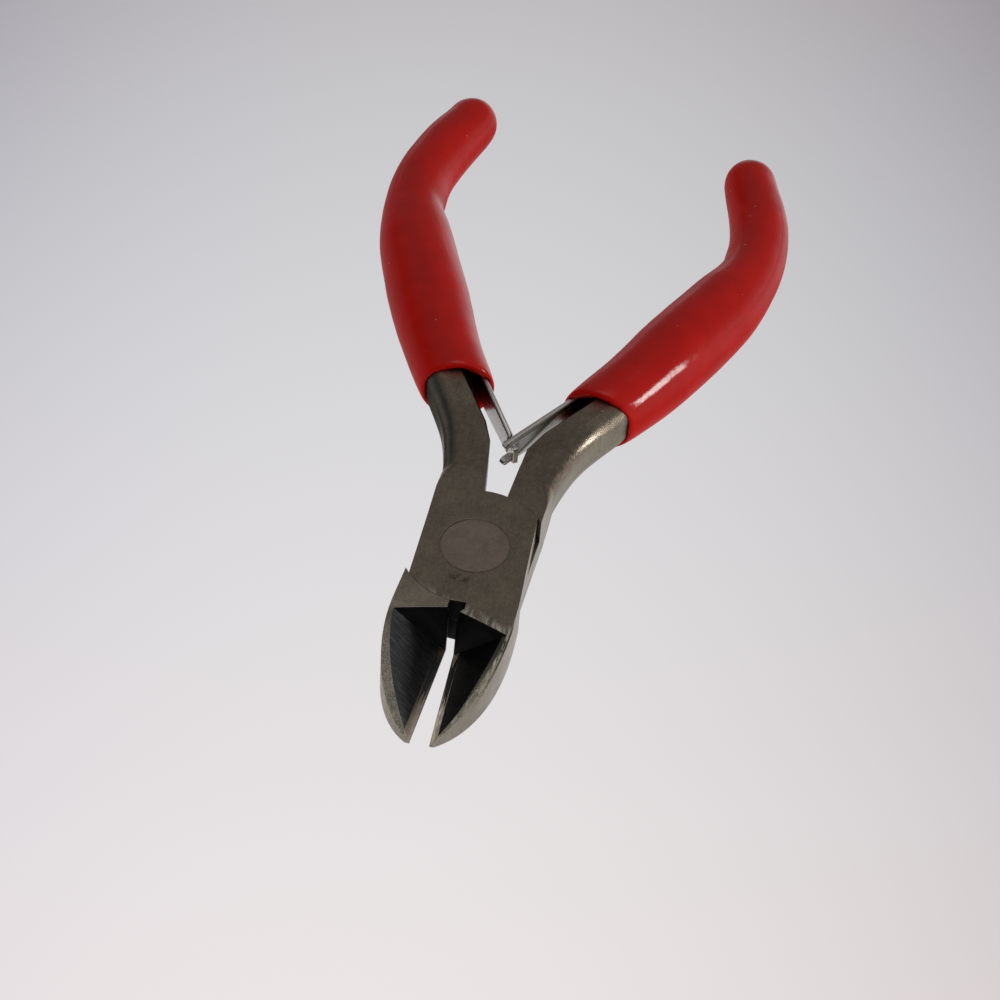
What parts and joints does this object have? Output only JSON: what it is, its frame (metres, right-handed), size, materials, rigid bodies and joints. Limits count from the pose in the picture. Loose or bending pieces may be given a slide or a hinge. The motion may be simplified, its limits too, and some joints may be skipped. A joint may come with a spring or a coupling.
{
  "type": "flush cutter",
  "caption": "Small lap-jointed flush cutter with a flush pivot rivet, ground relief over the cutting edges, hooked leaf springs and dipped grips.",
  "frame": {"origin": "where the pivot axis meets the joint's lower flat face", "axes": "+Z along the pivot axis, out of the face with the ground relief; +Y from the pivot towards the open end between the handles, with the jaws along -Y; +X to the right with +Y up the page"},
  "size_m": [0.0566, 0.1105, 0.012],
  "materials": {
    "forged_steel": "dark satin, ground top",
    "rivet_steel": "satin",
    "spring_steel": "bright nickel plate",
    "red_vinyl": "glossy dipped vinyl"
  },
  "bodies": {
    "left_handle": {"left_arm": "forged_steel", "pivot_rivet": "rivet_steel", "left_grip": "red_vinyl", "left_spring_rivet": "rivet_steel"},
    "right_handle": {"right_arm": "forged_steel", "right_grip": "red_vinyl", "right_spring_rivet": "rivet_steel"},
    "left_leaf": {"left_spring": "spring_steel"},
    "right_leaf": {"right_spring": "spring_steel"}
  },
  "joints": [
    {"name": "pivot", "type": "hinge", "parent": "left_handle", "child": "right_handle", "pos_m": [0, 0, 0], "axis": [0, 0, 1], "range_deg": [0, 5.3]},
    {"name": "left_spring_flex", "type": "hinge", "parent": "left_handle", "child": "left_leaf", "pos_m": [-0.0129, 0.0405, 0], "axis": [0, 0, 1], "range_deg": [-2.7, 0]},
    {"name": "right_spring_flex", "type": "hinge", "parent": "right_handle", "child": "right_leaf", "pos_m": [0.0129, 0.0405, 0], "axis": [0, 0, 1], "range_deg": [0, 2.7]}
  ],
  "couplings": [
    {"joint": "left_spring_flex", "follows": "pivot", "ratio": -0.488},
    {"joint": "right_spring_flex", "follows": "pivot", "ratio": 0.488}
  ]
}
